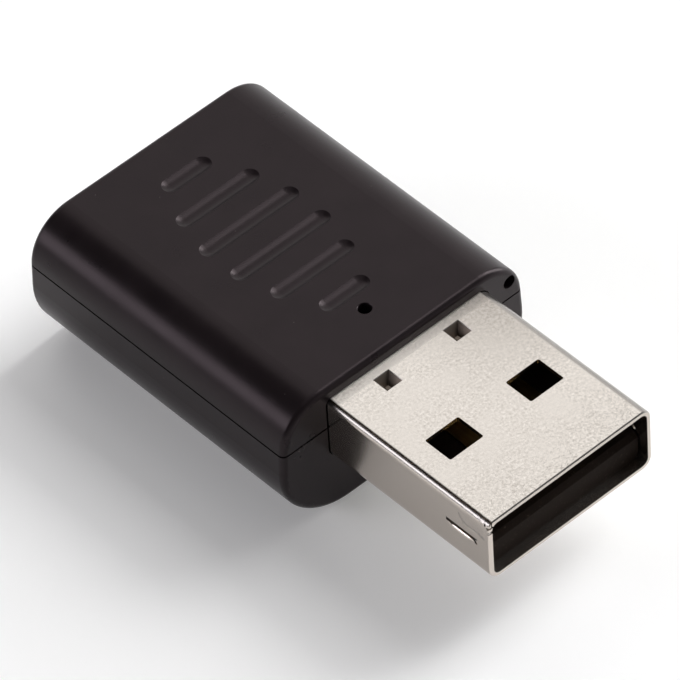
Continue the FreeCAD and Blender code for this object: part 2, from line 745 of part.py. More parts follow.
def contact_solder():
    """Solder wedges at the ends of the four contact feet."""
    foot_y = contact_foot_y
    wedges = []
    for name, x, width, start in contact_places():
        x0 = x - width / 2 + contact_solder_inset
        wedges.append(polygon_prism([
            Vector(x0, foot_y, board_top),
            Vector(x0, foot_y + contact_solder_rise, board_top),
            Vector(x0, foot_y, board_top + contact_solder_rise),
        ], Vector(width - 2 * contact_solder_inset, 0, 0)))
    return Part.makeCompound(wedges)


def leg_solder(shell):
    """Solder round the shell's legs on the board's underside."""
    joints = []
    for side in (-1, 1):
        middle = Vector(plug_offset + side * (plug_width - sheet) / 2, (leg_front_y + leg_rear_y) / 2,
                        board_bottom - leg_solder_height)
        cone = Part.makeCone(leg_solder_tip_radius, leg_solder_top_radius, leg_solder_height, middle)
        joints.append(cone.cut(shell))
    return Part.makeCompound(joints)


def build():
    """Every piece by its node's name."""
    shell = plug_shell()
    capacitors = [end_capped(place, small_part_size, small_part_cap, False) for place in capacitor_places]
    resistors = [end_capped(place, small_part_size, small_part_cap, True) for place in resistor_places]
    antenna_width, antenna_length, antenna_height = chip_antenna_size
    pieces = {
        "upper_cover": upper_cover(),
        "lower_cover": lower_cover(),
        "plug_shell": shell,
        "plug_insulator": plug_insulator(),
        "circuit_board": circuit_board(),
        "radio_chip": radio_chip(),
        "crystal": crystal(),
        "memory_chip": leaded_chip(memory_chip_place, memory_chip_size, 3, 3),
        "voltage_regulator": leaded_chip(regulator_place, regulator_size, 2, 1),
        "surge_protector": leaded_chip(surge_protector_place, surge_protector_size, 3, 3),
        "ferrite_bead": end_capped(ferrite_bead_place, ferrite_bead_size, ferrite_bead_cap, False),
        "chip_antenna": end_capped(chip_antenna_place, (antenna_length, antenna_width, antenna_height),
                                   chip_antenna_cap, True),
        "status_light": status_light(),
        "capacitors": Part.makeCompound(capacitors),
        "resistors": Part.makeCompound(resistors),
        "contact_solder": contact_solder(),
        "leg_solder": leg_solder(shell),
    }
    for name, x, width, start in contact_places():
        pieces[name] = contact(x, width, start)
    return pieces


os.makedirs("parts", exist_ok=True)
for node_name, shape in build().items():
    if not shape.isValid():
        raise ValueError(node_name + " is not a valid shape")
    print(node_name, len(shape.Solids), "solids,", round(shape.Volume, 3), "cubic millimetres")
    shape.exportStep("parts/" + node_name + ".step")
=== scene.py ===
# %% [markdown]
# # A small wireless adapter with a flat computer plug
#
# The object is a black moulded housing, 18 by 20.7 by 9.4 mm, with a folded and plated steel plug in
# its front. It was drawn as solids, one for each part that a factory makes, and they keep their shape
# here. This lesson loads them, sets up a camera and a small photo studio round them, and then gives
# each surface the finish that its real process leaves. Painted pictures could do that too, but a
# pattern made of nodes has no seams, stays sharp close up and is tuned by changing one number.

# %% Load the solids
import math

import bpy
import numpy as np
from mathutils import Matrix, Vector


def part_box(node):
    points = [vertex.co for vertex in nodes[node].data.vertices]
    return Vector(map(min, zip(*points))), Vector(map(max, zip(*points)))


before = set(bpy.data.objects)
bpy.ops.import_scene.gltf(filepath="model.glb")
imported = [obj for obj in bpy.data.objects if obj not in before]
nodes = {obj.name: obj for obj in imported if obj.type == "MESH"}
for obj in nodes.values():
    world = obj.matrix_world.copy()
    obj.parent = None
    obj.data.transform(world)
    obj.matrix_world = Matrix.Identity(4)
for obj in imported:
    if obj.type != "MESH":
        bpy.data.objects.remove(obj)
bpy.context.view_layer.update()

MM = 0.001

# %% [markdown]
# ## Camera
#
# The picture is a close product shot through a long lens, from the front left and about 47 degrees
# above the table. A long lens far away keeps the plug's edges nearly parallel. A camera can be aimed by
# a constraint, but that keeps it level, and this one is turned a few degrees about its own axis, as a
# hand-held one is. So its axes are built by hand: the view direction, a level axis to the right of it,
# and then the roll between right and up.

# %% Camera
camera_azimuth = math.radians(-40.04)
camera_elevation = math.radians(46.79)
camera_roll = math.radians(-3.84)
camera_distance = 431.0 * MM
camera_target = Vector((-1.995, -1.221, 8.487)) * MM
image_side_pixels = 680
focal_length_pixels = 7975
sensor_width = 36.0
nearest_seen, farthest_seen = 10 * MM, 5.0

toward_camera = Vector((math.sin(camera_azimuth) * math.cos(camera_elevation),
                        -math.cos(camera_azimuth) * math.cos(camera_elevation),
                        math.sin(camera_elevation)))
level_right = (-toward_camera).cross(Vector((0, 0, 1))).normalized()
level_up = level_right.cross(-toward_camera)
image_right = level_right * math.cos(camera_roll) + level_up * math.sin(camera_roll)
image_up = level_up * math.cos(camera_roll) - level_right * math.sin(camera_roll)

camera = bpy.data.objects.new("camera", bpy.data.cameras.new("camera"))
camera.data.sensor_width = sensor_width
camera.data.lens = focal_length_pixels / image_side_pixels * sensor_width
camera.data.clip_start, camera.data.clip_end = nearest_seen, farthest_seen
camera_pose = Matrix((image_right, image_up, toward_camera)).transposed().to_4x4()
camera_pose.translation = camera_target + toward_camera * camera_distance
camera.matrix_world = camera_pose
bpy.context.scene.collection.objects.link(camera)
bpy.context.scene.camera = camera
print("lens in mm:", round(camera.data.lens, 1))

# %% [markdown]
# ## Colours and nodes
#
# Colours are written as sRGB hex values, as they are read off a swatch, and one function turns them
# into the linear light that the shaders use. A second small function adds a node to a material with
# its settings and its links, so that each finish below reads as a short list of what it is made of.
# Node trees can also be drawn by hand in the editor, but code shows every value in one place.
# A pattern's size is given to a texture as a scale, which is one over the size of a blotch in metres.

# %% Helper for colours
def linear(hex_colour):
    """Each sRGB channel c becomes c/12.92 near black, and ((c + 0.055) / 1.055) to the power 2.4 above."""
    channels = [int(hex_colour[i:i + 2], 16) / 255 for i in (1, 3, 5)]
    return [c / 12.92 if c <= 0.04045 else ((c + 0.055) / 1.055) ** 2.4 for c in channels] + [1.0]


print("half grey in linear light:", round(linear("#808080")[0], 3))

# %% Helpers for nodes and materials
def add(tree, kind, settings=None, **inputs):
    """Adds a node; settings are its own fields, and each input is a value or another node's output.

    An input is named, or is an underscore and its number. Spaces in its name are underscores here."""
    node = tree.nodes.new(kind)
    for name, value in (settings or {}).items():
        setattr(node, name, value)
    for name, value in inputs.items():
        socket = node.inputs[int(name[1:])] if name[0] == "_" else node.inputs[name.replace("_", " ")]
        if isinstance(value, bpy.types.NodeSocket):
            tree.links.new(value, socket)
        else:
            socket.default_value = value
    return node


def material(name, **shader):
    """A new material: its node tree, its shader, and the place on the object in metres."""
    made = bpy.data.materials.new(name)
    made.use_nodes = True
    tree = made.node_tree
    tree.nodes.clear()
    principled = add(tree, "ShaderNodeBsdfPrincipled", None, **shader)
    add(tree, "ShaderNodeOutputMaterial", None, Surface=principled.outputs[0])
    where = add(tree, "ShaderNodeTexCoord").outputs["Object"]
    return made, tree, principled, where

# %% [markdown]
# ## Table
#
# The adapter lies on white paper. The paper is nearly white by its own colour, and a weak glow lifts it
# to white where the eye or a mirror looks at it. More lamp light would do that too, but it would bleach
# the object and drown the soft shadow.

# %% Table
table_half_side = 3.0
table_drop = 0.02 * MM
paper_glow = 0.15
table = bpy.data.objects.new("table", bpy.data.meshes.new("table"))
corners = np.array([(-1, -1, 0), (1, -1, 0), (1, 1, 0), (-1, 1, 0)]) * table_half_side - (0, 0, table_drop)
table.data.from_pydata(corners.tolist(), [], [(0, 1, 2, 3)])
bpy.context.scene.collection.objects.link(table)
table_finish, tree, paper, where = material("matt_white_paper", Base_Color=linear("#F4F4F4"), Roughness=0.9)
paper.inputs["Specular IOR Level"].default_value = 0.0
paper.inputs["Emission Color"].default_value = linear("#FFFFFF")
rays = add(tree, "ShaderNodeLightPath").outputs
mirrored = add(tree, "ShaderNodeMath", {"operation": "MAXIMUM"}, _0=rays["Is Glossy Ray"],
               _1=rays["Is Transmission Ray"]).outputs[0]
looked_at = add(tree, "ShaderNodeMath", {"operation": "MAXIMUM"}, _0=rays["Is Camera Ray"],
                _1=mirrored).outputs[0]
glow = add(tree, "ShaderNodeMath", {"operation": "MULTIPLY"}, _0=looked_at, _1=paper_glow).outputs[0]
tree.links.new(glow, paper.inputs["Emission Strength"])
print("table side in m:", 2 * table_half_side)

# %% Table seen from below
# From under the table the paper lets the eye through, so that the underside can be looked at.
below = add(tree, "ShaderNodeNewGeometry").outputs["Backfacing"]
see_through = add(tree, "ShaderNodeBsdfTransparent").outputs[0]
either = add(tree, "ShaderNodeMixShader", None, _0=below, _1=paper.outputs[0], _2=see_through)
output = [n for n in tree.nodes if n.type == "OUTPUT_MATERIAL"][0]
tree.links.new(either.outputs[0], output.inputs["Surface"])
table.data.materials.append(table_finish)
print("table finish:", table_finish.name)

# %% [markdown]
# ## Surroundings
#
# The surroundings are a room with pale walls near the horizon and a dark ceiling: the dark part is what
# the black plastic mirrors between two lamps, and it makes a rounded edge look round. The wall in front
# reaches higher than the others and a pale patch sits straight overhead. Without them the flat steel
# would turn black when the eye goes behind the adapter or over it, because a mirror shows only what it
# faces. A panorama picture is the other way to give a mirror something to show, but a few smooth steps
# in the world's brightness are enough here, and each can be moved by itself.

# %% Surroundings
# A direction's Z is the sine of its height over the horizon, and its Y tells the front from the back.
SMOOTH = {"interpolation_type": "SMOOTHSTEP"}
wall_brightness, wall_top = 0.75, 0.16
ceiling_brightness = 0.04
world = bpy.data.worlds.new("studio_room")
bpy.context.scene.world = world
world.use_nodes = True
tree = world.node_tree
background = tree.nodes["Background"]
background.inputs["Color"].default_value = linear("#FFFFFF")
direction = add(tree, "ShaderNodeTexCoord").outputs["Generated"]
heading = add(tree, "ShaderNodeSeparateXYZ", None, Vector=direction).outputs
walls = add(tree, "ShaderNodeMapRange", SMOOTH, Value=heading["Z"], From_Min=0.0, From_Max=wall_top,
            To_Min=wall_brightness, To_Max=ceiling_brightness).outputs[0]
print("walls and ceiling:", wall_brightness, ceiling_brightness)

# %% Front wall and the patch overhead
front_wall_brightness = 0.40
front_wall_starts, front_wall_full = -0.15, -0.55
front_wall_fades, front_wall_top = 0.40, 0.58
overhead_brightness = 0.50
overhead_starts, overhead_full = 0.92, 0.97
forward = add(tree, "ShaderNodeMapRange", SMOOTH, Value=heading["Y"], From_Min=front_wall_starts,
              From_Max=front_wall_full).outputs[0]
low_enough = add(tree, "ShaderNodeMapRange", SMOOTH, Value=heading["Z"], From_Min=front_wall_fades,
                 From_Max=front_wall_top, To_Min=front_wall_brightness, To_Max=0.0).outputs[0]
front_wall = add(tree, "ShaderNodeMath", {"operation": "MULTIPLY"}, _0=forward, _1=low_enough).outputs[0]
overhead = add(tree, "ShaderNodeMapRange", SMOOTH, Value=heading["Z"], From_Min=overhead_starts,
               From_Max=overhead_full, To_Min=0.0, To_Max=overhead_brightness).outputs[0]
room = add(tree, "ShaderNodeMath", {"operation": "MAXIMUM"}, _0=walls, _1=front_wall).outputs[0]
strength = add(tree, "ShaderNodeMath", {"operation": "MAXIMUM"}, _0=room, _1=overhead).outputs[0]
tree.links.new(strength, background.inputs["Strength"])
bpy.context.scene.view_settings.view_transform = "Standard"
print("front wall and overhead:", front_wall_brightness, overhead_brightness)

# %% [markdown]
# ## Lamps
#
# Each lamp has one job. A softbox above and behind on the right is what the flat top of the plug
# mirrors, so it sets how pale the steel is. A strip low behind on the left draws the soft line along the
# housing's rounded edge. A panel high in front on the right draws the thin line along the housing's front
# edge, and the dark gap between it and the softbox sets that line off. A fill low on the right lights the
# table from the side that the eye doesn't see, so the shadow falls to the left, the left side of the plug
# stays darker than its top and little light falls into the mouth.
#
# A small bright spot would light the same shapes, but steel and glossy plastic mirror a lamp's outline,
# so the lamps are large flat panels. Each has a known brightness, so a colour comes out about as written.

# %% Helper for lamps
def panel(name, direction, along, distance_mm, width_mm, height_mm, radiance, colour="#FFFFFF"):
    """A flat lamp at a distance along a direction from the object, facing it, its width along a vector.

    Its power is pi times its area times its radiance, so a mirror would show it at that radiance."""
    data = bpy.data.lights.new(name, "AREA")
    data.shape = "RECTANGLE"
    data.size = width_mm * MM
    data.size_y = height_mm * MM
    data.energy = math.pi * data.size * data.size_y * radiance
    data.color = linear(colour)[:3]
    away = Vector(direction).normalized()
    across = (Vector(along) - away * away.dot(Vector(along))).normalized()
    lamp = bpy.data.objects.new(name, data)
    lamp.location = away * distance_mm * MM
    lamp.rotation_mode = "QUATERNION"
    lamp.rotation_quaternion = Matrix((across, away.cross(across), away)).transposed().to_quaternion()
    lamp.visible_camera = False
    bpy.context.scene.collection.objects.link(lamp)
    print(name, "energy in watts:", round(data.energy, 4))


# %% Lamps
panel("overhead_softbox", direction=(0.55, 0.60, 0.58), along=(1, 0, 0), distance_mm=700,
      width_mm=820, height_mm=750, radiance=1.03, colour="#FFFDFB")
panel("back_left_strip", direction=(-0.775, 0.525, 0.36), along=(0.46, 0.86, -0.24), distance_mm=700,
      width_mm=500, height_mm=262, radiance=3.9, colour="#FBF8FF")
panel("edge_panel", direction=(0.62, -0.05, 0.78), along=(1, 0, 0), distance_mm=900,
      width_mm=560, height_mm=440, radiance=3.8)
panel("right_fill", direction=(0.89, -0.13, 0.44), along=(0, 1, 0), distance_mm=900,
      width_mm=480, height_mm=760, radiance=6.4)

# %% [markdown]
# ## Black housing plastic
#
# The two covers are injection moulded in black ABS, in a mould whose steel was spark eroded to a fine
# even texture. The eye sees a dark, slightly warm body under a soft sheen: wide patches of light with a
# blurred edge, a fine grain in them, faint clouds where the plastic flowed, and a little dust.
#
# The grain could be cut into the mesh, but it is finer than any sensible mesh, so a noise only tilts the
# surface. Roughness does most of the work, as it blurs what the plastic mirrors. The texture shades
# itself, so the specular level is well under half the usual. Real spark texture is about 0.03 mm across.
# It is drawn coarser here, because at this distance it wouldn't show.

# %% Housing plastic
COLOURS = {"data_type": "RGBA"}
noise_low, noise_high = 0.3, 0.7  # a noise seldom leaves this range
plastic_grain_mm = 0.11
plastic_grain_height = 0.006 * MM
plastic_cloud_mm = 2.6
sheen_sharpest, sheen_dullest = 0.27, 0.34
plastic, tree, shader, where = material("spark_textured_black_abs", Roughness=0.30, IOR=1.54)
shader.inputs["Specular IOR Level"].default_value = 0.185
shader.inputs["Specular Tint"].default_value = linear("#FFEAF0")
grain = add(tree, "ShaderNodeTexNoise", None, Vector=where, Scale=1 / (plastic_grain_mm * MM), Detail=3.0,
            Roughness=0.6).outputs[0]
clouds = add(tree, "ShaderNodeTexNoise", None, Vector=where, Scale=1 / (plastic_cloud_mm * MM), Detail=3.0,
             Roughness=0.55).outputs[0]
body = add(tree, "ShaderNodeMix", COLOURS, _0=clouds, _6=linear("#120E10"), _7=linear("#1E181A")).outputs[2]
sheen = add(tree, "ShaderNodeMapRange", None, Value=clouds, From_Min=noise_low, From_Max=noise_high,
            To_Min=sheen_sharpest, To_Max=sheen_dullest).outputs[0]
tree.links.new(sheen, shader.inputs["Roughness"])
bump = add(tree, "ShaderNodeBump", None, Strength=0.5, Distance=plastic_grain_height, Height=grain)
tree.links.new(bump.outputs[0], shader.inputs["Normal"])
print("grain and clouds in mm:", plastic_grain_mm, plastic_cloud_mm)

# %% Housing dust
# Each cell of the Voronoi texture has one point, and a speck is what lies near it. Sizes are shares of
# the spacing.
dust_spacing_mm = 1.3
dust_core, dust_edge = 0.015, 0.03
dust_cover = 0.35
dust = add(tree, "ShaderNodeTexVoronoi", None, Vector=where, Scale=1 / (dust_spacing_mm * MM))
near_speck = add(tree, "ShaderNodeMapRange", None, Value=dust.outputs["Distance"], From_Min=dust_core,
                 From_Max=dust_edge, To_Min=dust_cover, To_Max=0.0).outputs[0]
dusty = add(tree, "ShaderNodeMix", COLOURS, _0=near_speck, _6=body, _7=linear("#7C7674")).outputs[2]
tree.links.new(dusty, shader.inputs["Base Color"])
print("dust specks are apart by mm:", dust_spacing_mm)

# %% Covers dressed
def dress(names, finish):
    """Gives a finish to every material slot of these solids."""
    for name in names:
        for slot in nodes[name].material_slots:
            slot.material = finish
        print(name, "is", finish.name)


dress(["upper_cover", "lower_cover"], plastic)

# %% [markdown]
# ## Plated plug shell
#
# The shell is stamped and folded from 0.3 mm steel strip and plated with nickel. Stamping leaves the
# sheet slightly wavy, and drawing it pebbles it like orange peel in patches, so a mirror of the softbox
# breaks up into a fine mottle. The metal is warm grey and reflects about 70 per cent.
#
# A noise alone, used as height, gives pebbles that vanish on a face that mirrors one even panel. So the
# same noise also varies colour and roughness, and a broad noise chooses the patches.

# %% Plug shell steel
pebble_mm = 0.17
patch_mm = 2.4
wave_mm = 1.9
steel, tree, shader, where = material("nickel_plated_drawn_steel", Metallic=1.0)
pebbles = add(tree, "ShaderNodeTexNoise", None, Vector=where, Scale=1 / (pebble_mm * MM), Detail=3.0,
              Roughness=0.6, Distortion=0.5).outputs[0]
patches = add(tree, "ShaderNodeTexNoise", None, Vector=where, Scale=1 / (patch_mm * MM),
              Detail=1.0).outputs[0]
waves = add(tree, "ShaderNodeTexNoise", None, Vector=where, Scale=1 / (wave_mm * MM), Detail=1.0).outputs[0]
tone = add(tree, "ShaderNodeMapRange", None, Value=pebbles, From_Min=noise_low,
           From_Max=noise_high).outputs[0]
print("pebbles, patches and waves in mm:", pebble_mm, patch_mm, wave_mm)

# %% Plug shell mottle
# The mottle is full on level faces and nearly gone on upright ones, where the light is even.
level_from, level_full = 0.7, 0.95
patch_from, patch_full = 0.40, 0.60
share_upright, share_between_patches, plain_mottle = 0.1, 0.3, 0.6
facing = add(tree, "ShaderNodeNewGeometry").outputs["Normal"]
upward = add(tree, "ShaderNodeSeparateXYZ", None, Vector=facing).outputs["Z"]
flat = add(tree, "ShaderNodeMath", {"operation": "ABSOLUTE"}, _0=upward).outputs[0]
spread = add(tree, "ShaderNodeMapRange", None, Value=patches, From_Min=patch_from, From_Max=patch_full,
             To_Min=share_between_patches, To_Max=1.0).outputs[0]
share = add(tree, "ShaderNodeMapRange", None, Value=flat, From_Min=level_from, From_Max=level_full,
            To_Min=share_upright, To_Max=spread).outputs[0]
mottle = add(tree, "ShaderNodeMix", None, _0=share, _2=plain_mottle, _3=tone).outputs[0]
clean = add(tree, "ShaderNodeMix", COLOURS, _0=mottle, _6=linear("#C8C2BB"), _7=linear("#EBE6E0")).outputs[2]
print("mottle is full from a level of", level_full)

# %% [markdown]
# ## Marks on the plug shell
#
# Each mark on the plug sits at its own place on the object. Such marks could be painted on a picture that is
# wrapped round the mesh. Here they are masks worked out from the position, which stay put when the mesh
# changes and need no unwrapping.
#
# The top is coloured darker towards the housing and the right side. Short wrinkles run in from the mouth, and
# they are deep round the torn front corner, where the sheet is crumpled. Thin dark lines along the wrinkles
# near the mouth are painted shade.

# %% Plug shell darker rear right corner
darker_from_mouth_mm, darkest_from_mouth_mm = 5, 12
darker_from_right_mm, darkest_from_right_mm = 7, 1
shell_low, shell_high = [np.array(corner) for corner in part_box("plug_shell")]
mouth, left_side, right_side, plug_top = shell_low[1], shell_low[0], shell_high[0], shell_high[2]
position = add(tree, "ShaderNodeSeparateXYZ", None, Vector=where).outputs
rearward = add(tree, "ShaderNodeMapRange", None, Value=position["Y"],
               From_Min=mouth + darker_from_mouth_mm * MM,
               From_Max=mouth + darkest_from_mouth_mm * MM).outputs[0]
rightward = add(tree, "ShaderNodeMapRange", None, Value=position["X"],
                From_Min=right_side - darker_from_right_mm * MM,
                From_Max=right_side - darkest_from_right_mm * MM).outputs[0]
rear_right_darkening = add(tree, "ShaderNodeMath", {"operation": "MULTIPLY"}, _0=rearward, _1=rightward).outputs[0]
# Towards the housing and the right side the top is coloured darker and mottled.
rear_right_tone = add(tree, "ShaderNodeMix", COLOURS, _0=tone, _6=linear("#A09A93"), _7=linear("#C6C0BA")).outputs[2]
topside = add(tree, "ShaderNodeMix", COLOURS, _0=rear_right_darkening, _6=clean, _7=rear_right_tone).outputs[2]
print("plug shell in mm:", [round(v / MM, 2) for v in shell_high - shell_low])

# %% Plug shell wrinkles
wrinkle_mm = 0.5
wrinkled_from_mouth_mm = 4.5
torn_corner = left_side, mouth + 0.45 * MM, plug_top - 0.60 * MM
crumple_full_mm, crumple_ends_mm, crumple_strength = 0.35, 1.1, 4.0
crest_level, crest_width, crest_darkness = 0.5, 0.02, 0.45
near_mouth = add(tree, "ShaderNodeMapRange", None, Value=position["Y"], From_Min=mouth,
                 From_Max=mouth + wrinkled_from_mouth_mm * MM, To_Min=1.0, To_Max=0.0).outputs[0]
folding = add(tree, "ShaderNodeTexNoise", None, Vector=where, Scale=1 / (wrinkle_mm * MM), Detail=2.0,
              Distortion=1.5).outputs
folds = folding[0]
from_corner = add(tree, "ShaderNodeVectorMath", {"operation": "DISTANCE"}, _0=where,
                  _1=torn_corner).outputs["Value"]
crumpled = add(tree, "ShaderNodeMapRange", None, Value=from_corner, From_Min=crumple_full_mm * MM,
               From_Max=crumple_ends_mm * MM, To_Min=crumple_strength, To_Max=0.0).outputs[0]
bent = add(tree, "ShaderNodeMath", {"operation": "MAXIMUM"}, _0=near_mouth, _1=crumpled).outputs[0]
wrinkles = add(tree, "ShaderNodeMath", {"operation": "MULTIPLY"}, _0=folds, _1=bent).outputs[0]
# Thin dark lines along the wrinkles near the mouth: painted shade.
crest = add(tree, "ShaderNodeMath", {"operation": "COMPARE"}, _0=folds, _1=crest_level,
            _2=crest_width).outputs[0]
lined = add(tree, "ShaderNodeMath", {"operation": "MULTIPLY"}, _0=crest, _1=near_mouth).outputs[0]
wrinkle_line_shade = add(tree, "ShaderNodeMath", {"operation": "MULTIPLY"}, _0=lined, _1=crest_darkness).outputs[0]
creased_top = add(tree, "ShaderNodeMix", COLOURS, _0=wrinkle_line_shade, _6=topside, _7=linear("#8F8881")).outputs[2]
print("wrinkles in mm:", wrinkle_mm, "and they fade out at", wrinkled_from_mouth_mm)

# %% [markdown]
# ## Sides and folds of the plug shell
#
# The upright sides are coloured darker and warmer than the top: painted shade. Along the folds the colour is
# a duller grey, a painted dark reflection, and the folds are rougher too. A band by the housing was scuffed
# when the shell was pushed home. Separate materials on separate faces would need the mesh to be cut there.
# How level a face is tells top, fold and side apart as well, and without a hard edge.

# %% Plug shell sides and folds
side_from, side_full = 0.9, 0.5
fold_from, fold_full = 0.995, 0.97
fold_ends, fold_fades = 0.30, 0.55
upright = add(tree, "ShaderNodeMapRange", None, Value=flat, From_Min=side_from, From_Max=side_full).outputs[0]
# The upright faces get a darker, warmer colour: painted shade.
faced = add(tree, "ShaderNodeMix", COLOURS, _0=upright, _6=creased_top, _7=linear("#CDC4BB")).outputs[2]
past_flat = add(tree, "ShaderNodeMapRange", None, Value=flat, From_Min=fold_from,
                From_Max=fold_full).outputs[0]
above_side = add(tree, "ShaderNodeMapRange", None, Value=flat, From_Min=fold_ends,
                 From_Max=fold_fades).outputs[0]
on_fold = add(tree, "ShaderNodeMath", {"operation": "MULTIPLY"}, _0=past_flat, _1=above_side).outputs[0]
# The folds get a duller grey colour: painted dark reflection.
plating = add(tree, "ShaderNodeMix", COLOURS, _0=on_fold, _6=faced, _7=linear("#A29E9A")).outputs[2]
print("a face is a side below a level of", side_full)

# %% Plug shell scuffed band
scuff_starts_mm, scuff_full_mm = 0.75, 0.30
scuff_level_from, scuff_level_full = 0.9, 0.98
front_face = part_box("upper_cover")[0][1]
close = add(tree, "ShaderNodeMapRange", None, Value=position["Y"], From_Min=front_face - scuff_starts_mm * MM,
            From_Max=front_face - scuff_full_mm * MM).outputs[0]
level_close = add(tree, "ShaderNodeMapRange", None, Value=flat, From_Min=scuff_level_from,
                  From_Max=scuff_level_full, To_Min=0.0, To_Max=close).outputs[0]
print("housing's front face is behind the mouth by mm:", round((front_face - mouth) / MM, 2))

# %% [markdown]
# ## Crease in the plug shell
#
# A bent crease runs back from the torn corner over the left side. It could be one long curve laid on the
# metal, but a dent isn't a piece of its own. So it is a mask: the distance from a line of a few points, which
# is the least of the distances from its straight runs, with a noise that makes it wander. The mask dents the
# surface, which is real, and darkens its colour, which is painted shade in the crease.

# %% Plug shell crease
crease_behind_mouth_and_below_top_mm = [(2.26, 0.75), (1.95, 1.32), (1.02, 1.26), (0.40, 1.36)]
crease_wander = 0.4 * MM
crease_core_mm, crease_edge_mm, crease_darkness = 0.02, 0.13, 0.5
wandering = add(tree, "ShaderNodeVectorMath", {"operation": "MULTIPLY_ADD"}, _0=folding[1],
                _1=(crease_wander,) * 3, _2=where).outputs[0]
crease_points = [np.array((left_side, mouth + behind * MM, plug_top - below * MM)) + crease_wander / 2
                 for behind, below in crease_behind_mouth_and_below_top_mm]
from_crease = None
for start, end in zip(crease_points[:-1], crease_points[1:]):
    run = end - start
    reached = add(tree, "ShaderNodeVectorMath", {"operation": "SUBTRACT"}, _0=wandering,
                  _1=start.tolist()).outputs[0]
    ahead = add(tree, "ShaderNodeVectorMath", {"operation": "DOT_PRODUCT"}, _0=reached,
                _1=(run / run.dot(run)).tolist()).outputs["Value"]
    along_run = add(tree, "ShaderNodeClamp", None, Value=ahead).outputs[0]
    foot = add(tree, "ShaderNodeVectorMath", {"operation": "SCALE"}, _0=run.tolist(),
               Scale=along_run).outputs[0]
    away = add(tree, "ShaderNodeVectorMath", {"operation": "DISTANCE"}, _0=reached, _1=foot).outputs["Value"]
    from_crease = away if from_crease is None else add(tree, "ShaderNodeMath", {"operation": "MINIMUM"},
                                                       _0=from_crease, _1=away).outputs[0]
crease = add(tree, "ShaderNodeMapRange", None, Value=from_crease, From_Min=crease_core_mm * MM,
             From_Max=crease_edge_mm * MM, To_Min=1.0, To_Max=0.0).outputs[0]
# The darker colour along the crease is painted shade.
shade = add(tree, "ShaderNodeMath", {"operation": "MULTIPLY"}, _0=crease, _1=crease_darkness).outputs[0]
creased_plating = add(tree, "ShaderNodeMix", COLOURS, _0=shade, _6=plating, _7=linear("#6F6861")).outputs[2]
dented = add(tree, "ShaderNodeMath", {"operation": "SUBTRACT"}, _0=wrinkles, _1=crease).outputs[0]
print("runs of the crease:", len(crease_points) - 1)

# %% [markdown]
# ## Lips and painted shadows of the side slits
#
# Each side wall has a slit that was cut with a punch, with a sprung tab below it, and both are real in the
# solid. The lip under the slit was pressed in a little, so it faces up and catches the light. A dark band
# just above the slit is a painted shadow of the slit. The lip could be cut in the solid too, but it is hardly
# wider than the sheet is thick, so a tilt of the surface is enough: it slopes evenly near the slit, and a
# smooth maximum rounds its lower end.

# %% Plug shell slit lips
slit_middle = np.array((left_side, mouth + 2.15 * MM, plug_top - 2.05 * MM))
slit_half_length = 1.2 * MM
lip_reach = 0.36 * MM
lip_slope = 0.78
lip_start, lip_rounding, lip_end_sharpness = 0.8, 0.4, 4.0
by_slit = add(tree, "ShaderNodeMapping", None, Vector=where, Location=(-slit_middle).tolist()).outputs[0]
from_slit = add(tree, "ShaderNodeSeparateXYZ", None, Vector=by_slit).outputs
along_slit = add(tree, "ShaderNodeMath", {"operation": "DIVIDE"}, _0=from_slit["Y"],
                 _1=slit_half_length).outputs[0]
from_middle = add(tree, "ShaderNodeMath", {"operation": "ABSOLUTE"}, _0=along_slit).outputs[0]
bow = add(tree, "ShaderNodeMath", {"operation": "POWER"}, _0=from_middle, _1=lip_end_sharpness).outputs[0]
reach = add(tree, "ShaderNodeMapRange", None, Value=bow, To_Min=lip_start, To_Max=-lip_rounding).outputs[0]
depth = add(tree, "ShaderNodeMath", {"operation": "MULTIPLY_ADD"}, _0=from_slit["Z"], _1=1 / lip_reach,
            _2=reach).outputs[0]
sunk = add(tree, "ShaderNodeMath", {"operation": "SMOOTH_MAX"}, _0=depth, _1=0.0, _2=lip_rounding).outputs[0]
below_slit = add(tree, "ShaderNodeMath", {"operation": "LESS_THAN"}, _0=from_slit["Z"], _1=0.0).outputs[0]
upright_below = add(tree, "ShaderNodeMath", {"operation": "MULTIPLY"}, _0=below_slit, _1=upright).outputs[0]
lip = add(tree, "ShaderNodeMath", {"operation": "MULTIPLY"}, _0=sunk, _1=upright_below).outputs[0]
print("slit and lip in mm:", round(2 * slit_half_length / MM, 2), round(lip_reach / MM, 2))

# %% Plug shell painted slit shadow
# A dark band just above each slit is painted shadow of the slit.
slit_shadow_above = 0.11 * MM
slit_shadow_half_width = 0.055 * MM
within_slit = add(tree, "ShaderNodeMath", {"operation": "LESS_THAN"}, _0=bow, _1=1.0).outputs[0]
slit_shadow_band = add(tree, "ShaderNodeMath", {"operation": "COMPARE"}, _0=from_slit["Z"], _1=slit_shadow_above,
           _2=slit_shadow_half_width).outputs[0]
slit_shadow_along = add(tree, "ShaderNodeMath", {"operation": "MULTIPLY"}, _0=slit_shadow_band, _1=within_slit).outputs[0]
slit_shadow_on_sides = add(tree, "ShaderNodeMath", {"operation": "MULTIPLY"}, _0=slit_shadow_along, _1=upright).outputs[0]
marked_plating = add(tree, "ShaderNodeMix", COLOURS, _0=slit_shadow_on_sides, _6=creased_plating,
                     _7=linear("#332D29")).outputs[2]
print("burr in mm:", round(2 * slit_shadow_half_width / MM, 2))
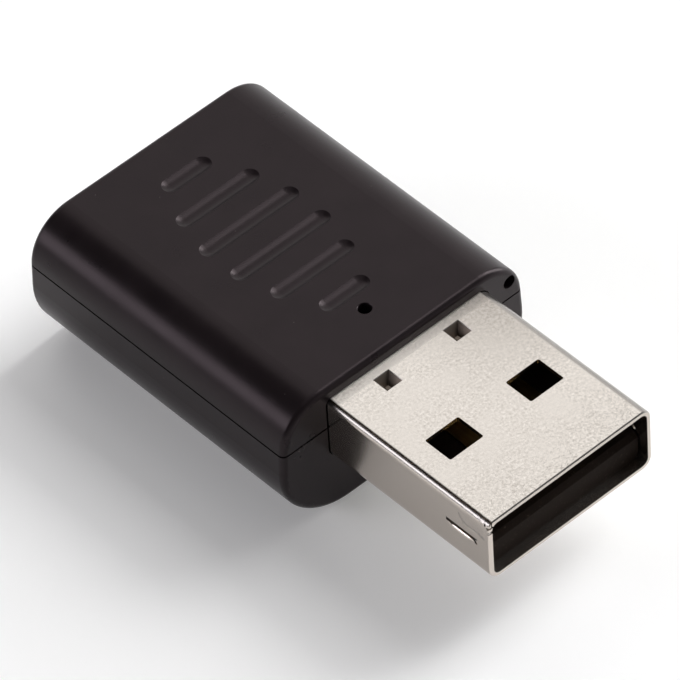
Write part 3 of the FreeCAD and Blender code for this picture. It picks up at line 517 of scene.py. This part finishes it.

# %% [markdown]
# ## Pits of the plug shell
#
# The two pressed pits are real in the solid. Their dull dark brown colour is painted shade, and they are
# rougher than the rest. Their faces could be given a material of their own, but those would have to be found
# among the mesh's triangles. A box round each pit picks it out by place instead: the place across is folded
# by an absolute value, so one box does for both.

# %% Plug shell pits
pit_middle_from_mouth = 11.425
pit_middle_from_centre = 2.575
pit_half = 0.585
pit_middle_depth = 0.47
pit_half_depth = 0.43
centre = np.array(((left_side + right_side) / 2, mouth + pit_middle_from_mouth * MM, plug_top))
centred = add(tree, "ShaderNodeMapping", None, Vector=where, Location=(-centre).tolist()).outputs[0]
offsets = add(tree, "ShaderNodeSeparateXYZ", None, Vector=centred).outputs
sideways = add(tree, "ShaderNodeMath", {"operation": "ABSOLUTE"}, _0=offsets["X"]).outputs[0]
pressed = None
for value, middle, half in ((sideways, pit_middle_from_centre, pit_half), (offsets["Y"], 0, pit_half),
                            (offsets["Z"], -pit_middle_depth, pit_half_depth)):
    inside = add(tree, "ShaderNodeMath", {"operation": "COMPARE"}, _0=value, _1=middle * MM,
                 _2=half * MM).outputs[0]
    pressed = inside if pressed is None else add(tree, "ShaderNodeMath", {"operation": "MULTIPLY"},
                                                 _0=pressed, _1=inside).outputs[0]
# The pits are coloured dull dark brown: painted shade in the recesses.
colour = add(tree, "ShaderNodeMix", COLOURS, _0=pressed, _6=marked_plating, _7=linear("#6A6159")).outputs[2]
print("pits are apart by mm:", 2 * pit_middle_from_centre)

# %% [markdown]
# ## Surface of the plug shell
#
# The masks above now give each place its roughness: bright where the mottle is pale, duller on the folds
# and in the pits, and dullest in the scuffed band. All heights could be added up for one bump, but each
# kind of dent has a depth of its own. So four bumps follow each other, and each tilts what the one
# before it gave: the broad waves of the sheet, the wrinkles with the crease, the lips, and the pebbles.

# %% Plug shell surface
bright_roughness, dull_roughness = 0.18, 0.24
scuff_roughness, fold_roughness, pit_roughness = 0.58, 0.26, 0.36
wave_height = wrinkle_height = 0.02 * MM
pebble_height = 0.006 * MM
shine = add(tree, "ShaderNodeMapRange", None, Value=mottle, To_Min=dull_roughness,
            To_Max=bright_roughness).outputs[0]
scuffed = add(tree, "ShaderNodeMix", None, _0=level_close, _2=shine, _3=scuff_roughness).outputs[0]
folded = add(tree, "ShaderNodeMix", None, _0=on_fold, _2=scuffed, _3=fold_roughness).outputs[0]
blur = add(tree, "ShaderNodeMix", None, _0=pressed, _2=folded, _3=pit_roughness).outputs[0]
broad = add(tree, "ShaderNodeBump", None, Strength=0.6, Distance=wave_height, Height=waves).outputs[0]
creased = add(tree, "ShaderNodeBump", None, Strength=0.7, Distance=wrinkle_height, Height=dented,
              Normal=broad).outputs[0]
lipped = add(tree, "ShaderNodeBump", {"invert": True}, Strength=1.0, Distance=lip_slope * lip_reach,
             Height=lip, Normal=creased).outputs[0]
fine = add(tree, "ShaderNodeBump", None, Strength=0.5, Distance=pebble_height, Height=mottle,
           Normal=lipped).outputs[0]
for socket, source in (("Base Color", colour), ("Roughness", blur), ("Normal", fine)):
    tree.links.new(source, shader.inputs[socket])
dress(["plug_shell"], steel)

# %% [markdown]
# ## Insulator
#
# The tongue and the block behind it are moulded in black glass-filled plastic, which has a dull face
# with short pale glints where fibres come to the surface. The fibres could be scattered as small meshes,
# but they are thinner than a hair, so the peaks of a noise stand for them.

# %% Insulator plastic
fibre_mm = 0.16
fibre_height = 0.005 * MM
fibre_shows_from, fibre_shows_full = 0.60, 0.74
insulator, tree, shader, where = material("glass_filled_black_pbt", Roughness=0.55, IOR=1.57)
shader.inputs["Specular IOR Level"].default_value = 0.03
fibres = add(tree, "ShaderNodeTexNoise", None, Vector=where, Scale=1 / (fibre_mm * MM), Detail=4.0,
             Roughness=0.7).outputs[0]
glint = add(tree, "ShaderNodeMapRange", None, Value=fibres, From_Min=fibre_shows_from,
            From_Max=fibre_shows_full).outputs[0]
colour = add(tree, "ShaderNodeMix", COLOURS, _0=glint, _6=linear("#201915"), _7=linear("#453C35")).outputs[2]
tree.links.new(colour, shader.inputs["Base Color"])
bump = add(tree, "ShaderNodeBump", None, Strength=0.3, Distance=fibre_height, Height=fibres)
tree.links.new(bump.outputs[0], shader.inputs["Normal"])
dress(["plug_insulator"], insulator)

# %% [markdown]
# ## Contacts
#
# The contacts are brass strips with a thin gold flash. They were drawn lengthwise through a die, so fine
# lines run along them. The shader's anisotropy would stretch a highlight as such lines do, but it leaves
# the metal plain. A noise that a Mapping node stretches along the strip shows the lines themselves.

# %% Contact brass
draw_line_mm = 0.05
draw_length_mm = 3.0
draw_line_height = 0.003 * MM
gold, tree, shader, where = material("gold_flashed_brass", Metallic=1.0, Roughness=0.28)
stretch = [1 / (draw_line_mm * MM), 1 / (draw_length_mm * MM), 1 / (draw_line_mm * MM)]
stretched = add(tree, "ShaderNodeMapping", None, Vector=where, Scale=stretch).outputs[0]
lines = add(tree, "ShaderNodeTexNoise", None, Vector=stretched, Scale=1.0, Detail=2.0).outputs[0]
colour = add(tree, "ShaderNodeMix", COLOURS, _0=lines, _6=linear("#D9AC5C"), _7=linear("#F4D594")).outputs[2]
tree.links.new(colour, shader.inputs["Base Color"])
bump = add(tree, "ShaderNodeBump", None, Strength=0.3, Distance=draw_line_height, Height=lines)
tree.links.new(bump.outputs[0], shader.inputs["Normal"])
dress(["power_contact", "data_minus_contact", "data_plus_contact", "ground_contact"], gold)

# %% [markdown]
# ## Circuit board
#
# The board is woven glass in epoxy under a glossy green solder mask. Copper runs under the mask show as
# slightly paler and raised lines, and the sawn edge shows the straw-coloured laminate. The runs could be
# drawn one by one, but they are hidden in the housing, so the joints of a Brick texture stand for them.
# The mask is told from the edge by the direction that a face looks in: only the top and bottom carry it.

# %% Board laminate and mask
run_pitch_mm = 0.9
run_height = 0.02 * MM
weave_mm = 0.25
masked_above_level = 0.5
board, tree, shader, where = material("green_masked_glass_epoxy", Roughness=0.32, IOR=1.52)
runs = add(tree, "ShaderNodeTexBrick", {"offset": 0.5, "squash": 1.0}, Vector=where,
           Color1=linear("#0F4A2A"), Color2=linear("#115030"), Mortar=linear("#2A7A4C"),
           Scale=1 / (run_pitch_mm * MM), Mortar_Size=0.06, Mortar_Smooth=0.2, Brick_Width=2.4,
           Row_Height=0.7)
weave = add(tree, "ShaderNodeTexChecker", None, Vector=where, Color1=linear("#C9B67A"),
            Color2=linear("#B09A5E"), Scale=1 / (weave_mm * MM)).outputs[0]
facing = add(tree, "ShaderNodeNewGeometry").outputs["Normal"]
upward = add(tree, "ShaderNodeSeparateXYZ", None, Vector=facing).outputs["Z"]
level = add(tree, "ShaderNodeMath", {"operation": "ABSOLUTE"}, _0=upward).outputs[0]
masked = add(tree, "ShaderNodeMath", {"operation": "GREATER_THAN"}, _0=level,
             _1=masked_above_level).outputs[0]
colour = add(tree, "ShaderNodeMix", COLOURS, _0=masked, _6=weave, _7=runs.outputs[0]).outputs[2]
tree.links.new(colour, shader.inputs["Base Color"])
bump = add(tree, "ShaderNodeBump", None, Strength=0.4, Distance=run_height, Height=runs.outputs["Fac"])
tree.links.new(bump.outputs[0], shader.inputs["Normal"])
dress(["circuit_board"], board)

# %% [markdown]
# ## Chips
#
# A chip is a block of black epoxy, pressed round its lead frame in a mould with a fine matt texture. Its
# leads are copper plated with matt tin. Body and leads are one solid here. Two material slots would need
# its faces sorted by hand, so one material holds both finishes and picks by place: what sticks out
# further than the moulded body is a lead. A Mapping node puts the origin at the chip's middle.

# %% Chip epoxy and leads
chip_grain_mm = 0.07
chip_grain_height = 0.005 * MM
epoxy_roughness, lead_roughness = 0.55, 0.38
lead_margin = 0.01 * MM
lead_reach_mm = {"radio_chip": (0.08, 0.08), "memory_chip": (0.55, 0.0), "voltage_regulator": (0.55, 0.0),
                 "surge_protector": (0.55, 0.0)}
for name, (reach_x, reach_y) in lead_reach_mm.items():
    low, high = [np.array(corner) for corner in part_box(name)]
    middle = (low + high) / 2
    body_half = (high - low) / 2 - np.array((reach_x, reach_y, 0)) * MM + lead_margin
    chip, tree, shader, where = material("moulded_epoxy_and_tin_" + name)
    centred = add(tree, "ShaderNodeMapping", None, Vector=where, Location=(-middle).tolist()).outputs[0]
    apart = add(tree, "ShaderNodeVectorMath", {"operation": "ABSOLUTE"}, _0=centred).outputs[0]
    parts = add(tree, "ShaderNodeSeparateXYZ", None, Vector=apart).outputs
    beyond_x = add(tree, "ShaderNodeMath", {"operation": "GREATER_THAN"}, _0=parts["X"], _1=body_half[0])
    beyond_y = add(tree, "ShaderNodeMath", {"operation": "GREATER_THAN"}, _0=parts["Y"], _1=body_half[1])
    lead = add(tree, "ShaderNodeMath", {"operation": "MAXIMUM"}, _0=beyond_x.outputs[0],
               _1=beyond_y.outputs[0]).outputs[0]
    grain = add(tree, "ShaderNodeTexNoise", None, Vector=where, Scale=1 / (chip_grain_mm * MM),
                Detail=2.0).outputs[0]
    epoxy = add(tree, "ShaderNodeMix", COLOURS, _0=grain, _6=linear("#1C1C1E"), _7=linear("#2C2C2E"))
    colour = add(tree, "ShaderNodeMix", COLOURS, _0=lead, _6=epoxy.outputs[2], _7=linear("#C4C5C6"))
    rough = add(tree, "ShaderNodeMapRange", None, Value=lead, To_Min=epoxy_roughness,
                To_Max=lead_roughness).outputs[0]
    bump = add(tree, "ShaderNodeBump", None, Strength=0.3, Distance=chip_grain_height, Height=grain)
    for socket, source in (("Base Color", colour.outputs[2]), ("Metallic", lead), ("Roughness", rough),
                           ("Normal", bump.outputs[0])):
        tree.links.new(source, shader.inputs[socket])
    dress([name], chip)

# %% [markdown]
# ## Parts with plated ends
#
# Capacitors, resistors, the bead and the antenna are ceramic blocks whose two ends are dipped in silver
# and plated with tin. As on the chips, one material tells the caps from the body by place, here by how
# far a point is from the middle of its own piece along the piece. A node that holds several like pieces
# takes the nearest middle of all, and the middles are measured on the mesh, so they follow the solids.

# %% Middles of like pieces
row_height = 0.6 * MM
gap_between_pieces = 0.3 * MM


def piece_middles(name, axis):
    """The middles, along one axis, of the separate pieces in a node.

    Points of the mesh are sorted along the axis, once for each row of pieces across it, and cut where
    two neighbours lie a gap apart. A piece's middle is the mean of its lowest and highest point."""
    mesh = nodes[name].data
    points = np.empty(len(mesh.vertices) * 3)
    mesh.vertices.foreach_get("co", points)
    points = points.reshape(-1, 3)
    rows = np.round(points[:, 1 - axis] / row_height)
    middles = []
    for row in np.unique(rows):
        along = np.sort(points[rows == row][:, axis])
        for group in np.split(along, np.where(np.diff(along) > gap_between_pieces)[0] + 1):
            middles.append(float(group[0] + group[-1]) / 2)
    return sorted(set(round(m, 6) for m in middles))


print("capacitors' middles in mm:", [round(m / MM, 2) for m in piece_middles("capacitors", 1)])

# %% Bodies of the capped parts
# For each node: the axis of its pieces, half the ceramic body in mm, its two colours and its process.
capped = {
    "capacitors": (1, 0.28, "#8A6A4A", "#A07E5A", "fired_tan_ceramic"),
    "resistors": (0, 0.28, "#141416", "#242428", "glazed_black_alumina"),
    "ferrite_bead": (1, 0.45, "#3A3A3E", "#4C4C50", "sintered_ferrite"),
    "chip_antenna": (0, 1.50, "#D8D6D0", "#E8E6E0", "fired_white_ceramic"),
}
print("capped parts:", ", ".join(capped))

# %% Ceramic with tinned ends
piece_grain_mm = 0.08
piece_grain_height = 0.006 * MM
ceramic_roughness, cap_roughness = 0.45, 0.33
for name, (axis, half_body_mm, dark, pale, process) in capped.items():
    low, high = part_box(name)
    single = name in ("ferrite_bead", "chip_antenna")
    middles = [(low[axis] + high[axis]) / 2] if single else piece_middles(name, axis)
    finish, tree, shader, where = material(process + "_with_tinned_ends")
    along = add(tree, "ShaderNodeSeparateXYZ", None, Vector=where).outputs[axis]
    nearest = None
    for middle in middles:
        offset = add(tree, "ShaderNodeMath", {"operation": "SUBTRACT"}, _0=along, _1=middle).outputs[0]
        apart = add(tree, "ShaderNodeMath", {"operation": "ABSOLUTE"}, _0=offset).outputs[0]
        nearest = apart if nearest is None else add(tree, "ShaderNodeMath", {"operation": "MINIMUM"},
                                                    _0=nearest, _1=apart).outputs[0]
    cap = add(tree, "ShaderNodeMath", {"operation": "GREATER_THAN"}, _0=nearest,
              _1=half_body_mm * MM).outputs[0]
    grain = add(tree, "ShaderNodeTexNoise", None, Vector=where, Scale=1 / (piece_grain_mm * MM),
                Detail=3.0).outputs[0]
    ceramic = add(tree, "ShaderNodeMix", COLOURS, _0=grain, _6=linear(dark), _7=linear(pale))
    colour = add(tree, "ShaderNodeMix", COLOURS, _0=cap, _6=ceramic.outputs[2], _7=linear("#C9C9C8"))
    rough = add(tree, "ShaderNodeMapRange", None, Value=cap, To_Min=ceramic_roughness,
                To_Max=cap_roughness).outputs[0]
    bump = add(tree, "ShaderNodeBump", None, Strength=0.3, Distance=piece_grain_height, Height=grain)
    for socket, source in (("Base Color", colour.outputs[2]), ("Metallic", cap), ("Roughness", rough),
                           ("Normal", bump.outputs[0])):
        tree.links.new(source, shader.inputs[socket])
    dress([name], finish)

# %% [markdown]
# ## Crystal
#
# The crystal is a pressed nickel lid welded on a brown ceramic base. Lid and base could be two solids,
# but they are bought as one part. So one material holds both, and a level above the bottom of the part
# tells them apart.

# %% Crystal can
crystal_base_mm = 0.45
can_grain_mm = 0.12
can_grain_height = 0.006 * MM
lid_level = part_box("crystal")[0][2] + crystal_base_mm * MM
can, tree, shader, where = material("nickel_lid_on_ceramic", Roughness=0.3)
up = add(tree, "ShaderNodeSeparateXYZ", None, Vector=where).outputs["Z"]
lid = add(tree, "ShaderNodeMath", {"operation": "GREATER_THAN"}, _0=up, _1=lid_level).outputs[0]
brushing = add(tree, "ShaderNodeTexNoise", None, Vector=where, Scale=1 / (can_grain_mm * MM),
               Detail=3.0).outputs[0]
colour = add(tree, "ShaderNodeMix", COLOURS, _0=lid, _6=linear("#6B5038"), _7=linear("#CFC9BE")).outputs[2]
tree.links.new(colour, shader.inputs["Base Color"])
tree.links.new(lid, shader.inputs["Metallic"])
bump = add(tree, "ShaderNodeBump", None, Strength=0.3, Distance=can_grain_height, Height=brushing)
tree.links.new(bump.outputs[0], shader.inputs["Normal"])
dress(["crystal"], can)

# %% [markdown]
# ## Light
#
# The light is a chip of clear resin on a white base, and it is switched off. Real clear resin would pass
# light on, which needs many more samples and shows little inside the dark housing. So the resin here is
# a pale, hazy blue with a smooth surface, and a level tells it from the base, as on the crystal.

# %% Light resin
light_base_mm = 0.25
haze_mm = 0.3
base_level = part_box("status_light")[0][2] + light_base_mm * MM
resin, tree, shader, where = material("cast_clear_epoxy_on_white_base", Roughness=0.2, IOR=1.51)
up = add(tree, "ShaderNodeSeparateXYZ", None, Vector=where).outputs["Z"]
lens = add(tree, "ShaderNodeMath", {"operation": "GREATER_THAN"}, _0=up, _1=base_level).outputs[0]
haze = add(tree, "ShaderNodeTexNoise", None, Vector=where, Scale=1 / (haze_mm * MM), Detail=2.0).outputs[0]
cast = add(tree, "ShaderNodeMix", COLOURS, _0=haze, _6=linear("#B9C3DE"), _7=linear("#CDD4E6")).outputs[2]
colour = add(tree, "ShaderNodeMix", COLOURS, _0=lens, _6=linear("#E9E7E0"), _7=cast).outputs[2]
tree.links.new(colour, shader.inputs["Base Color"])
dress(["status_light"], resin)

# %% [markdown]
# ## Solder
#
# The solder joints of the contacts and of the shell's legs cooled from a melt, so their skin is bright
# with soft dimples. The dimples could be pressed into the mesh, but the joints are small and lie inside,
# so a plain noise of the right size is detail enough.

# %% Solder
dimple_mm = 0.2
dimple_height = 0.02 * MM
solder, tree, shader, where = material("reflowed_tin_solder", Metallic=1.0, Roughness=0.25)
dimples = add(tree, "ShaderNodeTexNoise", None, Vector=where, Scale=1 / (dimple_mm * MM),
              Detail=3.0).outputs[0]
colour = add(tree, "ShaderNodeMix", COLOURS, _0=dimples, _6=linear("#B9BABC"),
             _7=linear("#DCDDDD")).outputs[2]
tree.links.new(colour, shader.inputs["Base Color"])
bump = add(tree, "ShaderNodeBump", None, Strength=0.5, Distance=dimple_height, Height=dimples)
tree.links.new(bump.outputs[0], shader.inputs["Normal"])
dress(["contact_solder", "leg_solder"], solder)
